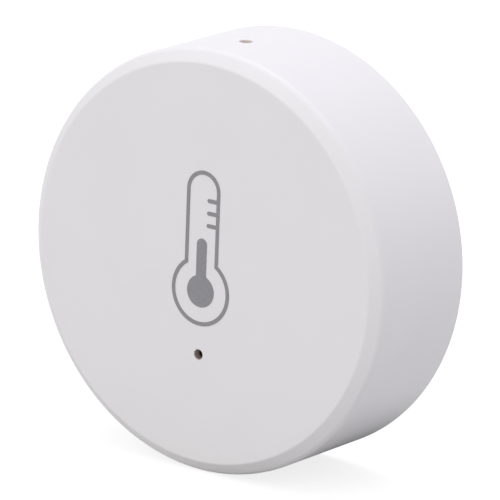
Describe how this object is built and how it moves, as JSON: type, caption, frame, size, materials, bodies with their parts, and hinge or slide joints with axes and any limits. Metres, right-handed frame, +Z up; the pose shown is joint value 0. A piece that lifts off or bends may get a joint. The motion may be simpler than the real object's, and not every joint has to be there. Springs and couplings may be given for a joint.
{
  "type": "temperature humidity sensor",
  "caption": "Round white wall sensor for temperature and humidity: chamfered front with a printed thermometer, reset pinhole on top, battery tub inside and a pull-off rear cover.",
  "frame": {"origin": "centre of the adhesive disc's outer face, on the wall", "axes": "+Z up with the thermometer upright, +Y into the wall, +X to the right as seen from the front"},
  "size_m": [0.06, 0.0206, 0.06],
  "materials": {
    "shell_plastic": "fine satin moulded plastic, cool white",
    "print_ink": "silver-grey printed ink",
    "acrylic_tape": "grey acrylic tape",
    "tub_plastic": "moulded plastic",
    "screw_steel": "zinc plated",
    "cell_metal": "plated can",
    "cell_film": "plain shrink sleeve",
    "contact_metal": "nickel plated",
    "board_laminate": "solder mask",
    "shield_tin": "tinned sheet",
    "track_copper": "plated copper",
    "chip_black": "moulded black resin",
    "led_resin": "clear resin",
    "capacitor_ceramic": "ceramic",
    "capacitor_can": "drawn can"
  },
  "bodies": {
    "wall_cover": {"rear_cover": "shell_plastic", "adhesive_disc": "acrylic_tape"},
    "sensor_body": {"front_shell": "shell_plastic", "icon_print": "print_ink", "battery_tub": "tub_plastic", "tub_screws": "screw_steel", "cell_can_upper": "cell_metal", "cell_sleeve_upper": "cell_film", "cell_can_lower": "cell_metal", "cell_sleeve_lower": "cell_film", "positive_contact": "contact_metal", "negative_contact": "contact_metal", "bridge_contact": "contact_metal", "negative_spring": "contact_metal", "bridge_spring": "contact_metal", "circuit_board": "board_laminate", "radio_board": "board_laminate", "radio_shield": "shield_tin", "antenna_trace": "track_copper", "humidity_chip": "chip_black", "indicator_led": "led_resin", "reset_switch_base": "chip_black", "reset_switch_frame": "shield_tin", "reset_dome": "track_copper", "chip_capacitors": "capacitor_ceramic", "chip_resistors": "chip_black", "regulator_chip": "chip_black", "crystal_can": "shield_tin", "bulk_capacitor": "capacitor_can"},
    "reset_button": {"reset_plunger": "chip_black"}
  },
  "joints": [
    {"name": "pull_off", "type": "slide", "parent": "wall_cover", "child": "sensor_body", "axis": [0, -1, 0], "range_m": [0, 0.03]},
    {"name": "reset_press", "type": "slide", "parent": "sensor_body", "child": "reset_button", "axis": [0, 0, -1], "range_m": [0, 0.00025], "stiffness_N_per_m": 3000, "springref_m": -0.0001, "deforming": ["reset_dome"]}
  ]
}
